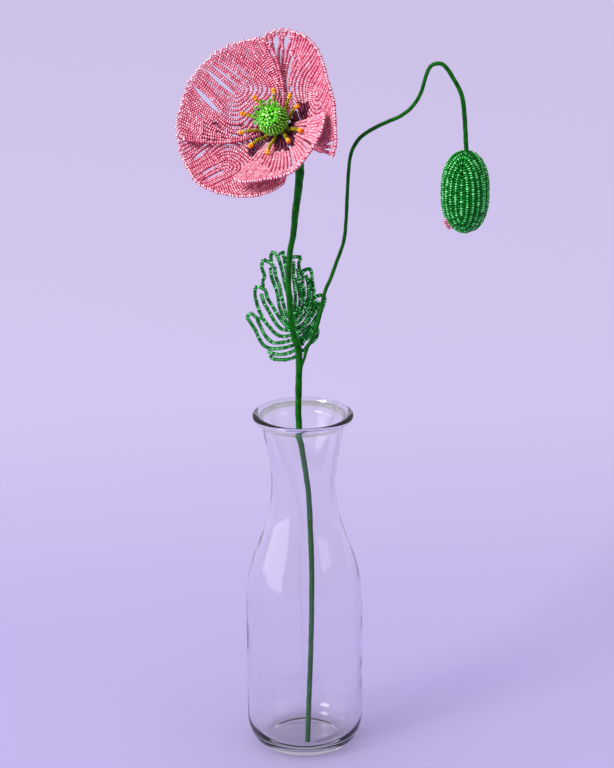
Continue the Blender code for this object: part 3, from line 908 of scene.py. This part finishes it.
def bud_surface(azimuth, polar, swell=0.0):
    """Places on the bud from azimuth about its upright axis and polar angle down from its top."""
    power = 2 / BUD_SQUARENESS
    a, p = np.radians(azimuth), np.radians(polar)
    outward = (BUD_RADIUS + swell) * np.sin(p) ** power
    up = np.sign(np.cos(p)) * np.abs(np.cos(p)) ** power * (BUD_HALF_HEIGHT + swell)
    return BUD_CENTRE + np.stack([outward * np.cos(a), outward * np.sin(a), up], axis=-1)


BUD_CENTRE = middle_of("bud_sepal_front") * np.array([1, 0, 1]) + np.array([0, BUD_CENTRE_DEPTH, 0])


def make_sepal(node, middle, seed, materials):
    """Ovals of beads, one inside the other, round a short upright row, with rows set deeper between them in a
    darker green as painted shade.
    """
    work = Beadwork(seed)

    def outward(places):
        return unit(places - BUD_CENTRE)

    heights = np.linspace(66, 114, 20)
    green = {"radius": GREEN_BEAD_RADIUS, "pitch": GREEN_BEAD_PITCH, "crown": outward}
    work.string(bud_surface(np.full(20, middle), heights), tone=0.55, spread=0.18, **green)
    for k in (1, 2, 3, 4, 0.5, 1.5, 2.5, 3.5, 4.5):
        # Half steps are rows set deeper, drawn in a darker green as painted shade
        deep = k % 1 > 0
        turn = np.radians(np.linspace(0, 360, 90))
        azimuth = middle + BUD_ROW_STEP * k * np.sign(np.sin(turn)) * np.abs(np.sin(turn)) ** 0.8
        polar = 90 - (24 + 13.8 * k) * np.cos(turn)
        size = DEEP_BEAD_RADIUS if deep else GREEN_BEAD_RADIUS
        oval = bud_surface(azimuth, polar, swell=-0.8 if deep else 0.0)
        work.string(oval, radius=size, pitch=1.25 * size, look=int(deep), clear=1.1, tone=0.58, spread=0.15,
                    crown=outward)
    for pole in (6, 174):
        azimuth = np.linspace(middle - 56, middle + 56, 16)
        work.string(bud_surface(azimuth, np.full(16, pole)), clear=1.1, **green)
    sepal = work.build(node + "_beads", materials)
    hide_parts(node)


def make_bud(green, pink):
    """Three sepals round folded petals, which show at a seam."""
    for k, side in enumerate(("front", "right", "back")):
        make_sepal("bud_sepal_" + side, BUD_FACING + SEPAL_TURN * k, 61 + k, green)
    work = Beadwork(64)
    for azimuth in np.arange(0, 360, 12):
        polar = np.linspace(12, 168, 40)
        work.string(bud_surface(np.full(40, azimuth), polar, swell=-3.6), clear=1.6)
    seam = BUD_FACING - SEPAL_TURN / 2
    for k, swell in enumerate((-1.2, 0.6, 2.2)):
        polar = np.linspace(118 + 5 * k, 152 - 3 * k, 12)
        work.string(bud_surface(np.full(12, seam), polar, swell=swell), look=1, clear=1.3, tone=0.7)
    petals = work.build("bud_petal_beads", pink)
    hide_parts("bud_petals")


# ---------------------------------------------------------------- the whole


bpy.context.scene.view_settings.view_transform = "Standard"
add_camera()
add_floor()
add_lights()

PINK_GLOSS = (1.0, 0.55, 0.65)
GREEN_GLOSS = (0.15, 1.0, 0.35)
pink_beads = bead_material(
    "pink_beads",
    [(0.0, (0.38, 0.015, 0.07)), (0.35, (0.8, 0.1, 0.22)), (0.75, (0.97, 0.4, 0.5)), (1.0, (1.0, 0.86, 0.9))],
    0.3, PINK_GLOSS, metallic=0.2,
)
pale_beads = bead_material(
    "pale_pink_beads", [(0.0, (0.5, 0.04, 0.11)), (0.5, (0.93, 0.28, 0.38)), (1.0, (1.0, 0.92, 0.94))], 0.3,
    PINK_GLOSS, metallic=0.2,
)
dark_beads = bead_material(
    "dark_beads", [(0.0, (0.02, 0.001, 0.006)), (0.5, (0.07, 0.004, 0.022)), (1.0, (0.32, 0.04, 0.11))], 0.3,
    PINK_GLOSS, metallic=0.2,
)
lime_beads = bead_material(
    "lime_beads", [(0.0, (0.01, 0.17, 0.0)), (0.4, (0.06, 0.55, 0.002)), (0.7, (0.16, 0.85, 0.01)),
                   (1.0, (0.8, 1.0, 0.5))], 0.22, (0.5, 1.0, 0.3), metallic=0.2,
)
olive_beads = bead_material(
    "olive_beads", [(0.0, (0.13, 0.1, 0.0)), (0.5, (0.4, 0.36, 0.003)), (1.0, (0.85, 0.78, 0.05))], 0.3,
    (1.0, 0.9, 0.2), metallic=0.2,
)
amber_beads = bead_material(
    "amber_beads", [(0.0, (0.75, 0.2, 0.0)), (0.5, (1.0, 0.42, 0.005)), (1.0, (1.0, 0.75, 0.14))], 0.2,
    (1.0, 0.8, 0.4), subsurface=0.2,
)
green_beads = bead_material(
    "green_beads", [(0.0, (0.0, 0.03, 0.002)), (0.4, (0.0, 0.17, 0.008)), (0.7, (0.008, 0.45, 0.04)),
                    (0.95, (0.35, 1.0, 0.4))], 0.26, GREEN_GLOSS, metallic=0.15,
)
# A darker green: painted shade for the rows set deeper between a sepal's rows
painted_shade_green_beads = bead_material(
    "painted_shade_green_beads", [(0.0, (0.0, 0.02, 0.001)), (1.0, (0.001, 0.16, 0.006))], 0.35, GREEN_GLOSS,
)
wire = wire_material()
tape = tape_material()

make_bottle()
make_stem("main_stem_tape", "main_stem", MAIN_STEM, 71, tape)
make_stem("bud_stem_tape", "bud_stem", BUD_STEM, 72, tape)
for petal_name, petal_shape in PETALS.items():
    make_petal(petal_name, petal_shape, [pink_beads, pale_beads, dark_beads, wire])
make_pod([lime_beads, wire])
make_stamens([olive_beads, amber_beads, wire])
make_leaf([green_beads, wire])
make_bud([green_beads, painted_shade_green_beads, wire], [pink_beads, pale_beads, wire])
